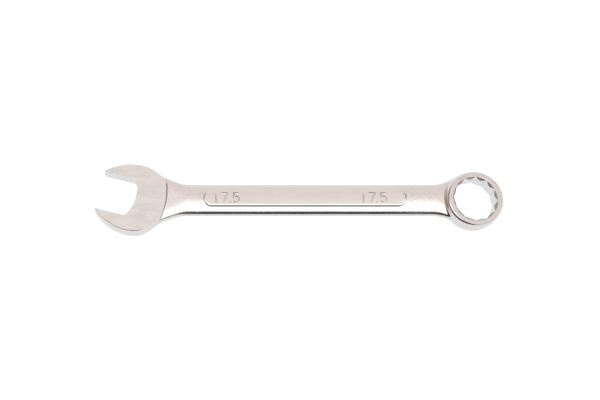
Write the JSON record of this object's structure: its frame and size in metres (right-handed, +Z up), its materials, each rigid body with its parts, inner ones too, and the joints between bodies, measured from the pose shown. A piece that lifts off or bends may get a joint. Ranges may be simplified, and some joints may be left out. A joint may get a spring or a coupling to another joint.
{
  "type": "combination wrench",
  "caption": "Forged combination wrench with an angled open end, a flat-panelled shank and an offset ring end for hexagon nuts.",
  "frame": {"origin": "centre of the bounding box's base, with the wrench lying on a table on its back", "axes": "+X along the wrench from the open end to the box end, +Y across the shank, +Z up out of the table"},
  "size_m": [0.1796, 0.0312, 0.014],
  "materials": {
    "plated_steel": "satin nickel-chrome plate over forged steel, ground head faces"
  },
  "bodies": {
    "root": {"wrench_body": "plated_steel"}
  },
  "joints": []
}
